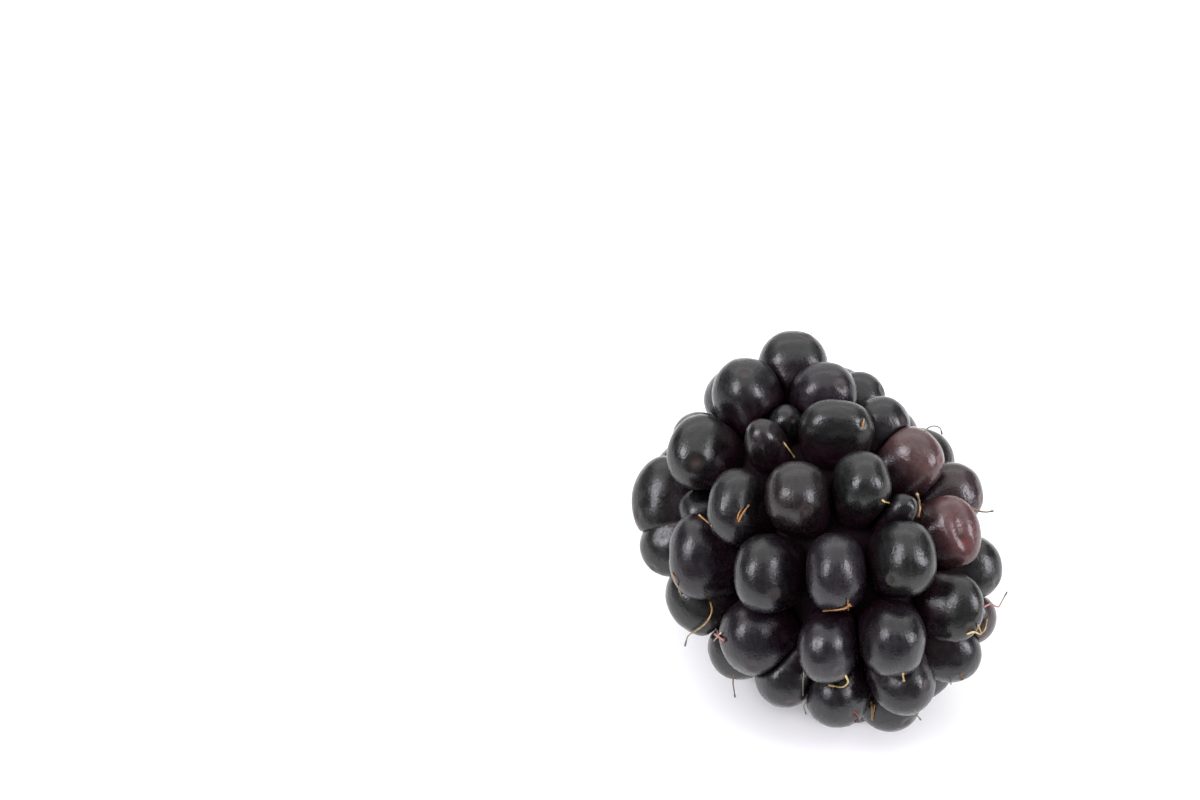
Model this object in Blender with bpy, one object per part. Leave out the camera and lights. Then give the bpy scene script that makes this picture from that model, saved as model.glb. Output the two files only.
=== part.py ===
# A ripe bramble berry lying on its side: one fruit, grown as one piece.
# X runs along the fruit with the tip at +X, Z is up, and the table is at z = 0.
# Lengths below are in millimetres and are turned to metres where the mesh is made.

import bmesh
import bpy
import numpy as np

# driving dimensions of the fruit
tip_length = 14.0         # of the ovoid on which the drupelets' middles lie, middle to tip
base_length = 10.8        # of the same ovoid, middle to the picked end
radius = 9.35             # of the same ovoid, across
tip_blunt = 0.93          # below 1 an end is blunter than an ellipse's
base_blunt = 0.52
height = 11.45            # of the ovoid's axis over the table
spacing = 4.6             # between neighbouring drupelets
least_gap = 0.80          # of the spacing: a gap at least this wide gets a drupelet more
small_count = 5           # stunted ones that then fill the widest gaps left
small_room = 0.7          # of the spacing and width of a full one
small_width = 1.6         # a seen one slimmer than this counts as stunted
base_limit = 168.0        # degrees from the tip, where the drupelets end at the picked end

photo_turn = 62.0         # degrees, the side that the photo shows, where the table below is all
photo_rise = 45.0
hidden_from = -0.18       # drupelets are added where the skin turns away further than this

# driving dimensions of a drupelet
half_height = 2.45        # from its middle out to its pole, for one of usual width
usual_width = 2.12        # half width that goes with half_height
root_hold = 1.25          # how deep its root is sunk into the receptacle
root_flare = 0.50         # how much stouter it grows towards its root, where all are packed
root_overlap = 0.09       # how far a pressed flank passes the plane that it shares
press = 18.0              # the higher, the sharper the shoulder of a pressed flank
side_count = 11
ring_degrees = (24.0, 47.0, 70.0, 95.0, 128.0)

# driving dimensions of the receptacle, which the drupelets grow from
core_sink = 2.0           # how far the receptacle lies under the ovoid of middles
core_sides = 20
core_rings = 8
plug_radius = 2.6         # its bare end, where the fruit came off the stalk
plug_station = -11.0
plug_edge = 0.35          # how far its rim is rounded off
plug_dish = 0.25          # how far its face is hollowed

# resting on the table
reach = 1.1               # a drupelet that hangs this near the table comes down to it
pressed = 0.22            # depth of the flat that it rests on

millimetre = 0.001
seed = 23

# The drupelets that the photo shows, from the tip to the base: degrees from the tip,
# degrees round the axis from the top towards the front, half width, half length, the turn
# of the long way from the line to the tip, and how far it stands out more than usual.
seen = (
    (9, 144, 2.15, 2.2, 10, 0.0),
    (18, 33, 2.25, 2.5, 45, 0.0),
    (29, -120, 2.15, 2.2, -65, -0.2),
    (27, -60, 1.75, 2.45, -27, 0.0),
    (31, 172, 2.2, 2.25, 30, 0.1),
    (36, 125, 2.15, 2.3, 80, 0.0),
    (37, 72, 2.05, 2.4, 62, 0.0),
    (39, -104, 2.0, 2.1, -50, 0.0),
    (44, -8, 2.2, 2.65, 14, 0.0),
    (49, -80, 2.1, 2.4, -40, 0.0),
    (51, 31, 2.05, 2.75, 41, 0.0),
    (52, 111, 2.1, 2.2, 52, 0.0),
    (55, -52, 1.75, 2.7, -26, 0.0),
    (60, -17, 1.15, 1.25, -68, 0.0),
    (62, 94, 2.35, 2.75, 55, 0.0),
    (67, 57, 2.15, 2.75, 51, 0.0),
    (70, -5, 2.05, 2.35, 19, 0.0),
    (73, -68, 2.2, 2.35, -37, 0.2),
    (75, 121, 2.2, 2.35, 40, -0.1),
    (77, 23, 2.25, 2.4, 40, 0.0),
    (80, -41, 1.9, 2.35, -22, 0.0),
    (88, 46, 1.9, 2.7, 49, 0.0),
    (89, 80, 2.15, 3.1, 50, 0.0),
    (90, 104, 2.15, 2.8, 35, 0.0),
    (93, -12, 1.8, 2.7, -61, 0.0),
    (92, -36, 2.0, 2.1, -52, -0.2),
    (103, 19, 1.4, 1.4, 43, 0.0),
    (119, -48, 2.0, 2.05, -30, -0.4),
    (118, -24, 2.1, 2.35, -57, -0.2),
    (120, 102, 2.2, 2.4, 40, -0.1),
    (122, 46, 2.15, 2.75, 54, 0.0),
    (135, 88, 2.25, 2.9, 44, 0.0),
    (144, -26, 2.3, 2.5, -49, 0.9),
    (137, 9, 2.4, 2.5, 54, 0.0),
    (156, 52, 1.9, 2.0, 20, -1.1),
    (112, 72, 1.5, 1.7, 10, -0.7),
    (116, 0, 1.3, 1.4, 60, -0.8),
    (63, 141, 1.8, 2.0, 20, -0.5),
)


def ovoidPoint(fromTip, around, grow=0.0):
    """Point of the ovoid of middles for two angles in radians, moved out by grow."""
    sine = np.maximum(np.sin(fromTip), 1e-3)
    cosine = np.cos(fromTip)
    reaches = np.where(cosine > 0, tip_length, base_length)
    blunt = np.where(cosine > 0, tip_blunt, base_blunt)
    slope = radius * blunt * sine ** (blunt - 1) * cosine
    run = reaches * sine
    long = np.hypot(slope, run)
    across = radius * sine ** blunt + grow * run / long
    station = reaches * cosine + grow * slope / long
    return np.stack([station, -across * np.sin(around), height + across * np.cos(around)], -1)


def ovoidAngles(point):
    """The two angles of the ovoid's point that lies the same way from its middle."""
    table = np.radians(np.arange(0.0, 181.0))
    rim = ovoidPoint(table, 0.0 * table)
    slant = np.arctan2(rim[:, 2] - height, rim[:, 0])
    across = np.hypot(point[..., 1], point[..., 2] - height)
    fromTip = np.interp(np.arctan2(across, point[..., 0]), slant, table)
    return fromTip, np.arctan2(-point[..., 1], point[..., 2] - height)


def towardsPhoto():
    """Direction from the fruit to where the photo was taken from."""
    turn, rise = np.radians(photo_turn), np.radians(photo_rise)
    return np.array([np.sin(turn) * np.cos(rise), -np.cos(turn) * np.cos(rise), np.sin(rise)])


def placeDrupelets(draw):
    """The seen drupelets, the widest gap of the rest filled one by one, then all relaxed."""
    rows = np.array(seen, float)
    angles = np.radians(rows[:, :2])
    places = ovoidPoint(angles[:, 0], angles[:, 1])
    grid = np.meshgrid(np.radians(np.arange(4.0, base_limit, 3.0)),
                       np.radians(np.arange(0.0, 360.0, 4.0)), indexing="ij")
    spots = ovoidPoint(grid[0].ravel(), grid[1].ravel())
    outward = ovoidPoint(grid[0].ravel(), grid[1].ravel(), 1.0) - spots
    spots = spots[outward @ towardsPhoto() < hidden_from]
    spots = spots + draw.normal(0, 0.05, spots.shape)
    room = np.where(rows[:, 2] < small_width, small_room, 1.0)
    small_left = small_count
    while True:
        gaps = np.linalg.norm(spots[:, None] - places[None], axis=2) / room[None]
        nearest = gaps.min(axis=1)
        tight = nearest.max() < least_gap * spacing
        if tight and small_left == 0:
            break
        small_left = small_left - 1 if tight else small_left
        places = np.vstack([places, spots[nearest.argmax()]])
        room = np.append(room, small_room if tight else 1.0)
    count = len(rows)
    home = places[:count].copy()
    for _ in range(160):
        apart = places[:, None] - places[None]
        far = np.linalg.norm(apart, axis=2) + np.eye(len(places)) * 99
        wanted = spacing * (room[:, None] + room[None]) / 2
        push = np.clip(wanted - far, 0, None) / far
        move = (apart * push[..., None]).sum(axis=1) * 0.25
        move[:count] = move[:count] * 0.2 + (home - places[:count]) * 0.25
        fromTip, around = ovoidAngles(places + move)
        fromTip = np.minimum(fromTip, np.radians(base_limit))
        places = ovoidPoint(fromTip, around)
    return places, room, count


def shapeDrupelets(places, room, count, draw):
    """Three axes, sizes and lift of each drupelet; those seen keep their own, and small
    ones sit deeper."""
    total = len(places)
    rows = np.array(seen, float)
    wide = draw.uniform(2.1, 2.4, total) * room
    long = wide + draw.uniform(0.05, 0.5, total)
    turn = draw.uniform(-70, 70, total)
    wide[:count] = rows[:, 2]
    long[:count] = rows[:, 3]
    turn[:count] = rows[:, 4]
    tall = half_height * (wide / usual_width) ** 0.6
    fromTip, around = ovoidAngles(places)
    tiny = 1e-3
    ahead = ovoidPoint(fromTip - tiny, around) - ovoidPoint(fromTip + tiny, around)
    beside = ovoidPoint(fromTip, around + tiny) - ovoidPoint(fromTip, around - tiny)
    ahead = ahead / np.linalg.norm(ahead, axis=1)[:, None]
    beside = beside / np.linalg.norm(beside, axis=1)[:, None]
    outward = np.cross(beside, ahead)
    angle = np.radians(turn)[:, None]
    lengthways = ahead * np.cos(angle) + beside * np.sin(angle)
    sideways = np.cross(outward, lengthways)
    axes = np.stack([sideways, lengthways, outward], axis=1)
    lift = -np.clip(1.9 - wide, 0, None) * 0.55
    lift[:count] = lift[:count] + rows[:, 5]
    root = core_sink + root_hold + lift
    return axes, np.stack([wide, long, tall, root], axis=1), lift


def settleDrupelets(places, axes, sizes, lift):
    """Each stands out by its lift, and those that hang close to the table come down to it."""
    places = places + axes[:, 2] * lift[:, None]
    hang = np.sqrt(((axes[:, :, 2] * sizes[:, :3]) ** 2).sum(axis=1))
    bottom = places[:, 2] - hang
    low = (bottom < reach) & (places[:, 2] < 0.6 * height)
    places[:, 2] = np.where(low, places[:, 2] - bottom - pressed, places[:, 2])
    return places


def drupeletSurface(index, places, axes, sizes, directions, overlap):
    """Distance to the skin in each direction: an ellipsoid's, smoothly cut short by the
    planes that it shares with its neighbours."""
    local = directions @ axes[index].T
    stout = 1 + root_flare * np.clip(-local[:, 2], 0, None) ** 2
    level = (local[:, 0] / sizes[index, 0]) ** 2 + (local[:, 1] / sizes[index, 1]) ** 2
    level = level / stout ** 2
    depth = np.where(local[:, 2] > 0, sizes[index, 2], sizes[index, 3])
    level = (level + (local[:, 2] / depth) ** 2) ** (press / 2)
    apart = places - places[index]
    far = np.linalg.norm(apart, axis=1)
    size = sizes[:, :2].mean(axis=1)
    for other in np.flatnonzero((far > 0) & (far < 2 * sizes[:, :2].max())):
        towards = apart[other] / far[other]
        share = (far[other] ** 2 + size[index] ** 2 - size[other] ** 2) / (2 * far[other])
        facing = np.clip(directions @ towards, 0, None) / (share + overlap)
        level = level + facing ** press
    return level ** (-1 / press)


def closedFaces(sides, rings):
    """Faces of a closed skin of rings, with a pole before the first and after the last."""
    top = sides * rings
    faces = []
    for step in range(sides):
        after = (step + 1) % sides
        faces.append((top, step, after))
        for ring in range(rings - 1):
            one = ring * sides
            two = one + sides
            faces.append((one + step, two + step, two + after, one + after))
        last = (rings - 1) * sides
        faces.append((last + after, last + step, top + 1))
    return faces


def sphereGrid(sides, rings):
    """Directions of a closed grid: rings at the given angles from its pole, and both poles."""
    tilt = np.radians(np.repeat(rings, sides))
    turn = np.tile(np.arange(sides) * 2 * np.pi / sides, len(rings))
    points = np.stack([np.sin(tilt) * np.cos(turn), np.sin(tilt) * np.sin(turn), np.cos(tilt)], -1)
    return np.vstack([points, [[0, 0, 1], [0, 0, -1]]])


def addMesh(name, points, faces, collection):
    """A mesh object from points in millimetres."""
    mesh = bpy.data.meshes.new(name)
    mesh.from_pydata((points * millimetre).tolist(), [], faces)
    mesh.update()
    thing = bpy.data.objects.new(name, mesh)
    collection.objects.link(thing)
    return thing


def makeReceptacle(collection):
    """The ovoid that the drupelets grow from, drawn out at the base to a low bare plug:
    rings down the ovoid as far as the plug's rim, two rings of its edge, and its face."""
    table = np.radians(np.arange(91.0, 180.0, 0.5))
    rim = ovoidPoint(table, 0.0 * table, -core_sink)
    meets = np.interp(-plug_radius, height - rim[:, 2], table)
    fromTip = np.linspace(0, meets, core_rings + 1)[1:]
    skin = ovoidPoint(fromTip, 0.0 * fromTip, -core_sink)
    station = np.append(skin[:, 0], [plug_station + plug_edge, plug_station, plug_station])
    across = np.append(skin[:, 2] - height, [plug_radius, plug_radius - plug_edge, 1.0])
    turn = np.arange(core_sides) * 2 * np.pi / core_sides
    points = np.stack([
        np.repeat(station, core_sides),
        np.outer(across, np.sin(turn)).ravel(),
        height + np.outer(across, np.cos(turn)).ravel(),
    ], axis=-1)
    ends = [[tip_length - core_sink, 0, height], [plug_station + plug_dish, 0, height]]
    faces = closedFaces(core_sides, len(station))
    return addMesh("bramble_berry", np.vstack([points, ends]), faces, collection)


def makeDrupelets(collection, places, axes, sizes):
    """One closed dome for each drupelet, its root sunk into the receptacle."""
    grid = sphereGrid(side_count, ring_degrees)
    faces = closedFaces(side_count, len(ring_degrees))
    for index in range(len(places)):
        directions = grid @ axes[index]
        reachOut = drupeletSurface(index, places, axes, sizes, directions, root_overlap)
        points = places[index] + directions * reachOut[:, None]
        addMesh("drupelet", points, faces, collection)


def fuse(body, collection):
    """One union of the receptacle with all drupelets; their own objects then go."""
    union = body.modifiers.new("Fuse", "BOOLEAN")
    union.operation = "UNION"
    union.operand_type = "COLLECTION"
    union.collection = collection
    union.solver = "EXACT"
    graph = bpy.context.evaluated_depsgraph_get()
    fused = bpy.data.meshes.new_from_object(body.evaluated_get(graph))
    body.modifiers.clear()
    body.data = fused
    for thing in list(collection.objects):
        bpy.data.objects.remove(thing)
    bpy.data.collections.remove(collection)


def islandVolume(faces):
    """Signed volume that a set of triangles encloses."""
    total = 0.0
    for face in faces:
        one, two, three = [corner.co for corner in face.verts]
        total += one.dot(two.cross(three)) / 6
    return total


def keepOuterSkin(work):
    """Fills hollows that the union sealed and drops loose scraps: the largest skin stays."""
    left = set(work.faces)
    islands = []
    while left:
        start = left.pop()
        island = [start]
        for face in island:
            for edge in face.edges:
                for near in edge.link_faces:
                    if near in left:
                        left.remove(near)
                        island.append(near)
        islands.append(island)
    islands.sort(key=islandVolume, reverse=True)
    extra = [face for island in islands[1:] for face in island]
    bmesh.ops.delete(work, geom=extra, context="FACES")


def cutAtTable(work):
    """Cuts the pressed drupelets flat at z = 0."""
    everything = work.verts[:] + work.edges[:] + work.faces[:]
    bmesh.ops.bisect_plane(work, geom=everything, dist=1e-7, plane_co=(0, 0, 0),
                           plane_no=(0, 0, 1), clear_inner=True)
    open_edges = [edge for edge in work.edges if edge.is_boundary]
    bmesh.ops.holes_fill(work, edges=open_edges, sides=0)


def centreOnOrigin(work):
    """Moves the middle of the bounding box over the origin."""
    points = np.array([corner.co for corner in work.verts])
    middle = (points.min(axis=0) + points.max(axis=0)) / 2
    bmesh.ops.translate(work, verts=work.verts[:], vec=(-middle[0], -middle[1], 0))


def finishMesh(body):
    work = bmesh.new()
    work.from_mesh(body.data)
    bmesh.ops.triangulate(work, faces=work.faces[:])
    keepOuterSkin(work)
    cutAtTable(work)
    bmesh.ops.triangulate(work, faces=work.faces[:])
    bmesh.ops.recalc_face_normals(work, faces=work.faces[:])
    centreOnOrigin(work)
    work.to_mesh(body.data)
    work.free()


def ripeSkin():
    """Almost black, wine-tinted skin with a soft gloss."""
    material = bpy.data.materials.new("ripe_skin")
    material.use_nodes = True
    shader = material.node_tree.nodes["Principled BSDF"]
    shader.inputs["Base Color"].default_value = (0.016, 0.010, 0.014, 1)
    shader.inputs["Roughness"].default_value = 0.28
    shader.inputs["Metallic"].default_value = 0.0
    return material


def build():
    for thing in list(bpy.data.objects):
        bpy.data.objects.remove(thing)
    draw = np.random.default_rng(seed)
    places, room, count = placeDrupelets(draw)
    axes, sizes, lift = shapeDrupelets(places, room, count, draw)
    places = settleDrupelets(places, axes, sizes, lift)
    berries = bpy.data.collections.new("drupelets")
    bpy.context.scene.collection.children.link(berries)
    body = makeReceptacle(bpy.context.scene.collection)
    makeDrupelets(berries, places, axes, sizes)
    fuse(body, berries)
    finishMesh(body)
    body.data.materials.clear()
    body.data.materials.append(ripeSkin())
    body.data.shade_smooth()
    print("drupelets:", len(places), "triangles:", len(body.data.polygons))


build()
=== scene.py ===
import bpy
import numpy as np
from mathutils import Matrix, Vector
from mathutils.bvhtree import BVHTree


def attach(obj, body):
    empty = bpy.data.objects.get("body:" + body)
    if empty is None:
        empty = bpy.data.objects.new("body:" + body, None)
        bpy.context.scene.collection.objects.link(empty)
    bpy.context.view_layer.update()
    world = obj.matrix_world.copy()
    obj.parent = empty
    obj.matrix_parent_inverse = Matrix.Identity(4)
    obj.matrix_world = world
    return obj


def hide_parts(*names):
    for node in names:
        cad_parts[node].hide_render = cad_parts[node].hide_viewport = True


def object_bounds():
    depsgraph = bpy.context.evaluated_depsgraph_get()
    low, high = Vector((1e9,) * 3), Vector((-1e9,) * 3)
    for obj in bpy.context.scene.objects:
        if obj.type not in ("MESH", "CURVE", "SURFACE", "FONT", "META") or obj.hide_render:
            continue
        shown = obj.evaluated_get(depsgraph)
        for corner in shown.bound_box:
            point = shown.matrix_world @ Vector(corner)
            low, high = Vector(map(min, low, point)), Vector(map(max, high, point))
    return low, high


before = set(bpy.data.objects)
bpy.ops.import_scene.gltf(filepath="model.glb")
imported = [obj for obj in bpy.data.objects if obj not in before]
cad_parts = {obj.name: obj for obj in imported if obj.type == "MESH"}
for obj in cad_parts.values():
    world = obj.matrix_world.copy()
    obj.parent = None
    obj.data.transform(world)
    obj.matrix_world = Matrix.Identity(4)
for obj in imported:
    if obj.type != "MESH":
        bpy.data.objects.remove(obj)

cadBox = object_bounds()
millimetre = 0.001

# The ovoid on which the middles of the drupelets lie, and how they are spread over it.
# Same values and same order of draws as in the solid, so each dome lies where its solid is.
fruit = {
    "tipLength": 14.0,
    "baseLength": 10.8,
    "radius": 9.35,
    "tipBlunt": 0.93,
    "baseBlunt": 0.52,
    "height": 11.45,
    "spacing": 4.6,
    "leastGap": 0.80,
    "smallCount": 5,
    "smallRoom": 0.7,
    "smallWidth": 1.6,
    "baseLimit": 168.0,
    "hiddenFrom": -0.18,
    "reach": 1.1,
    "pressed": 0.22,
    "gridStart": 4.0,
    "gridSteps": (3.0, 4.0),
    "jitter": 0.05,
    "rounds": 160,
    "ease": 0.25,
    "seenEase": 0.2,
    "seed": 23,
}

# The drupelets that the photograph shows, from the tip to the base: degrees from the tip,
# degrees round the axis, half width, half length, turn, and how far each stands out. The last
# four lie half hidden behind others, or just out of view.
seen = (
    (9, 144, 2.15, 2.2, 10, 0.0), (18, 33, 2.25, 2.5, 45, 0.0),
    (29, -120, 2.15, 2.2, -65, -0.2), (27, -60, 1.75, 2.45, -27, 0.0),
    (31, 172, 2.2, 2.25, 30, 0.1), (36, 125, 2.15, 2.3, 80, 0.0),
    (37, 72, 2.05, 2.4, 62, 0.0), (39, -104, 2.0, 2.1, -50, 0.0),
    (44, -8, 2.2, 2.65, 14, 0.0), (49, -80, 2.1, 2.4, -40, 0.0),
    (51, 31, 2.05, 2.75, 41, 0.0), (52, 111, 2.1, 2.2, 52, 0.0),
    (55, -52, 1.75, 2.7, -26, 0.0), (60, -17, 1.15, 1.25, -68, 0.0),
    (62, 94, 2.35, 2.75, 55, 0.0), (67, 57, 2.15, 2.75, 51, 0.0),
    (70, -5, 2.05, 2.35, 19, 0.0), (73, -68, 2.2, 2.35, -37, 0.2),
    (75, 121, 2.2, 2.35, 40, -0.1), (77, 23, 2.25, 2.4, 40, 0.0),
    (80, -41, 1.9, 2.35, -22, 0.0), (88, 46, 1.9, 2.7, 49, 0.0),
    (89, 80, 2.15, 3.1, 50, 0.0), (90, 104, 2.15, 2.8, 35, 0.0),
    (93, -12, 1.8, 2.7, -61, 0.0), (92, -36, 2.0, 2.1, -52, -0.2),
    (103, 19, 1.4, 1.4, 43, 0.0), (119, -48, 2.0, 2.05, -30, -0.4),
    (118, -24, 2.1, 2.35, -57, -0.2), (120, 102, 2.2, 2.4, 40, -0.1),
    (122, 46, 2.15, 2.75, 54, 0.0), (135, 88, 2.25, 2.9, 44, 0.0),
    (144, -26, 2.3, 2.5, -49, 0.9), (137, 9, 2.4, 2.5, 54, 0.0),
    (156, 52, 1.9, 2.0, 20, -1.1), (112, 72, 1.5, 1.7, 10, -0.7),
    (116, 0, 1.3, 1.4, 60, -0.8), (63, 141, 1.8, 2.0, 20, -0.5),
)

# The camera stands where the photograph was taken from. Pixels are the photograph's own.
photo = {
    "turn": 62.0,
    "rise": 45.0,
    "lens": 100.0,
    "sensor": 36.0,
    "distance": 238.0,
    "size": (1200, 800),
    "fruitAt": (813.0, 532.0),
}


def unit(vectors):
    # each vector divided by its length
    return vectors / np.linalg.norm(vectors, axis=-1, keepdims=True)


def photoAxes():
    # right, up and towards the camera, from the turn round the fruit and the rise over it
    turn, rise = np.radians(photo["turn"]), np.radians(photo["rise"])
    back = np.array([np.sin(turn) * np.cos(rise), -np.cos(turn) * np.cos(rise), np.sin(rise)])
    right = np.array([np.cos(turn), np.sin(turn), 0.0])
    return right, np.cross(back, right), back


def ovoidPoint(fromTip, around, grow=0.0):
    # a superellipse turned round the x axis, one half length and bluntness towards the tip and
    # another towards the base, then moved out by grow along its own outward direction
    sine = np.maximum(np.sin(fromTip), 1e-3)
    cosine = np.cos(fromTip)
    reaches = np.where(cosine > 0, fruit["tipLength"], fruit["baseLength"])
    blunt = np.where(cosine > 0, fruit["tipBlunt"], fruit["baseBlunt"])
    slope = fruit["radius"] * blunt * sine ** (blunt - 1) * cosine
    run = reaches * sine
    long = np.hypot(slope, run)
    across = fruit["radius"] * sine ** blunt + grow * run / long
    station = reaches * cosine + grow * slope / long
    height = fruit["height"] + across * np.cos(around)
    return np.stack([station, -across * np.sin(around), height], -1)


def ovoidAngles(point):
    # the two angles of the ovoid's point that lies the same way from its middle, by a table
    table = np.radians(np.arange(0.0, 181.0))
    rim = ovoidPoint(table, 0.0 * table)
    slant = np.arctan2(rim[:, 2] - fruit["height"], rim[:, 0])
    across = np.hypot(point[..., 1], point[..., 2] - fruit["height"])
    fromTip = np.interp(np.arctan2(across, point[..., 0]), slant, table)
    return fromTip, np.arctan2(-point[..., 1], point[..., 2] - fruit["height"])


def placeDrupelets(draw):
    # the seen middles stay, the widest gap of the hidden side gets one until none is left, five
    # stunted ones follow, and then each pushes on its neighbours until all lie even
    rows = np.array(seen, float)
    angles = np.radians(rows[:, :2])
    places = ovoidPoint(angles[:, 0], angles[:, 1])
    downStep, roundStep = fruit["gridSteps"]
    down = np.radians(np.arange(fruit["gridStart"], fruit["baseLimit"], downStep))
    grid = np.meshgrid(down, np.radians(np.arange(0.0, 360.0, roundStep)), indexing="ij")
    spots = ovoidPoint(grid[0].ravel(), grid[1].ravel())
    outward = ovoidPoint(grid[0].ravel(), grid[1].ravel(), 1.0) - spots
    spots = spots[outward @ photoAxes()[2] < fruit["hiddenFrom"]]
    spots = spots + draw.normal(0, fruit["jitter"], spots.shape)
    room = np.where(rows[:, 2] < fruit["smallWidth"], fruit["smallRoom"], 1.0)
    smallLeft = fruit["smallCount"]
    while True:
        gaps = np.linalg.norm(spots[:, None] - places[None], axis=2) / room[None]
        nearest = gaps.min(axis=1)
        tight = nearest.max() < fruit["leastGap"] * fruit["spacing"]
        if tight and smallLeft == 0:
            break
        smallLeft = smallLeft - 1 if tight else smallLeft
        places = np.vstack([places, spots[nearest.argmax()]])
        room = np.append(room, fruit["smallRoom"] if tight else 1.0)
    count = len(rows)
    home = places[:count].copy()
    ease = fruit["ease"]
    for _ in range(fruit["rounds"]):
        apart = places[:, None] - places[None]
        far = np.linalg.norm(apart, axis=2) + np.eye(len(places)) * 99
        wanted = fruit["spacing"] * (room[:, None] + room[None]) / 2
        push = np.clip(wanted - far, 0, None) / far
        move = (apart * push[..., None]).sum(axis=1) * ease
        move[:count] = move[:count] * fruit["seenEase"] + (home - places[:count]) * ease
        fromTip, around = ovoidAngles(places + move)
        fromTip = np.minimum(fromTip, np.radians(fruit["baseLimit"]))
        places = ovoidPoint(fromTip, around)
    return places, room, count


# One drupelet: how far its pole stands out, how deep its root sits, and how sharply a flank
# that is pressed by a neighbour turns. The coarse grid is the solid's own.
drupelet = {
    "drawnWidth": (2.1, 2.4),
    "drawnExtra": (0.05, 0.5),
    "drawnTurn": 70,
    "halfHeight": 2.45,
    "usualWidth": 2.12,
    "tallPower": 0.6,
    "shyBelow": 1.9,
    "shyness": 0.55,
    "coreSink": 2.0,
    "rootHold": 1.25,
    "rootFlare": 0.50,
    "press": 18.0,
    "solidSides": 11,
    "solidRings": (24.0, 47.0, 70.0, 95.0, 128.0),
    "solidOverlap": 0.09,
    "squareness": 2.35,
    "deeper": 0.6,
    "sightSides": 40,
    "sightRings": 24,
    "fineSides": 76,
    "fineRings": 42,
    "ringPower": 1.22,
    "fineOverlap": -0.012,
    "scarTilt": 37.0,
    "scarWidth": 0.105,
    "scarDepth": 0.06,
    "scarRim": 0.28,
    "waves": 7,
    "waveSpread": 1.9,
    "lumps": 0.026,
    "flatter": 0.05,
    "flatSpread": 0.06,
}


def shapeDrupelets(places, room, count, draw):
    # three axes for each, its long one turned from the line to the tip, with its half sizes
    total = len(places)
    rows = np.array(seen, float)
    wide = draw.uniform(*drupelet["drawnWidth"], total) * room
    long = wide + draw.uniform(*drupelet["drawnExtra"], total)
    turn = draw.uniform(-drupelet["drawnTurn"], drupelet["drawnTurn"], total)
    wide[:count] = rows[:, 2]
    long[:count] = rows[:, 3]
    turn[:count] = rows[:, 4]
    tall = drupelet["halfHeight"] * (wide / drupelet["usualWidth"]) ** drupelet["tallPower"]
    fromTip, around = ovoidAngles(places)
    tiny = 1e-3
    ahead = unit(ovoidPoint(fromTip - tiny, around) - ovoidPoint(fromTip + tiny, around))
    beside = unit(ovoidPoint(fromTip, around + tiny) - ovoidPoint(fromTip, around - tiny))
    outward = np.cross(beside, ahead)
    angle = np.radians(turn)[:, None]
    lengthways = ahead * np.cos(angle) + beside * np.sin(angle)
    sideways = np.cross(outward, lengthways)
    axes = np.stack([sideways, lengthways, outward], axis=1)
    # the slimmest lie deeper
    lift = -np.clip(drupelet["shyBelow"] - wide, 0, None) * drupelet["shyness"]
    lift[:count] = lift[:count] + rows[:, 5]
    root = drupelet["coreSink"] + drupelet["rootHold"] + lift
    return axes, np.stack([wide, long, tall, root], axis=1), lift, ahead


def settleDrupelets(places, axes, sizes, lift):
    # each stands out by its lift, and one that hangs close to the table comes down to it
    places = places + axes[:, 2] * lift[:, None]
    hang = np.sqrt(((axes[:, :, 2] * sizes[:, :3]) ** 2).sum(axis=1))
    bottom = places[:, 2] - hang
    low = (bottom < fruit["reach"]) & (places[:, 2] < 0.6 * fruit["height"])
    places[:, 2] = np.where(low, places[:, 2] - bottom - fruit["pressed"], places[:, 2])
    return places


def skinDistance(index, directions, overlap, squareness=2.0):
    # distance from the drupelet's middle to its skin: an ellipsoid's (fuller at the shoulders
    # the more its squareness passes 2), made one with the planes shared with its neighbours by
    # a power mean, so that each pressed flank is flat and the turn into it is round
    local = directions @ axes[index].T
    stout = 1 + drupelet["rootFlare"] * np.clip(-local[:, 2], 0, None) ** 2
    narrow = 1 - eggShape.get(index, 0.0) * local[:, 1]
    squareness = min(squareness, roundRows.get(index, squareness))
    level = (np.abs(local[:, 0] / sizes[index, 0]) ** squareness
             + np.abs(local[:, 1] / sizes[index, 1]) ** squareness) ** (2 / squareness)
    level = level / (stout * narrow) ** 2
    depth = np.where(local[:, 2] > 0, sizes[index, 2], sizes[index, 3])
    press = drupelet["press"]
    level = (level + (local[:, 2] / depth) ** 2) ** (press / 2)
    apart = places - places[index]
    far = np.linalg.norm(apart, axis=1)
    size = sizes[:, :2].mean(axis=1)
    for other in np.flatnonzero((far > 0) & (far < 2 * sizes[:, :2].max())):
        if tuckedRows.get(index) == other:
            continue
        towards = apart[other] / far[other]
        share = (far[other] ** 2 + size[index] ** 2 - size[other] ** 2) / (2 * far[other])
        facing = np.clip(directions @ towards, 0, None) / (share + overlap)
        level = level + facing ** press
    return level ** (-1 / press)


def ringGrid(tilts, sides, pole):
    # directions on rings at the given tilts from the pole, then the pole and its opposite
    across = unit(np.cross(pole, [0.31, 0.62, -0.72]))
    along = np.cross(pole, across)
    tilt = np.repeat(tilts, sides)[:, None]
    turn = np.tile(np.arange(sides) * 2 * np.pi / sides, len(tilts))[:, None]
    ring = np.sin(tilt) * (np.cos(turn) * across + np.sin(turn) * along) + np.cos(tilt) * pole
    return np.vstack([ring, [pole, -pole]])


def ringFaces(sides, rings):
    # triangles of such a closed grid: a fan at each pole and two in each cell between rings
    step = np.arange(sides)
    after = (step + 1) % sides
    one = np.arange(rings - 1)[:, None] * sides + step
    two = np.arange(rings - 1)[:, None] * sides + after
    low, high = one + sides, two + sides
    cells = np.stack([np.stack([one, low, high], -1), np.stack([one, high, two], -1)])
    top = np.stack([np.full(sides, sides * rings), step, after], -1)
    last = (rings - 1) * sides
    end = np.stack([last + after, last + step, np.full(sides, sides * rings + 1)], -1)
    return np.vstack([top, cells.reshape(-1, 3), end])


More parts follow.
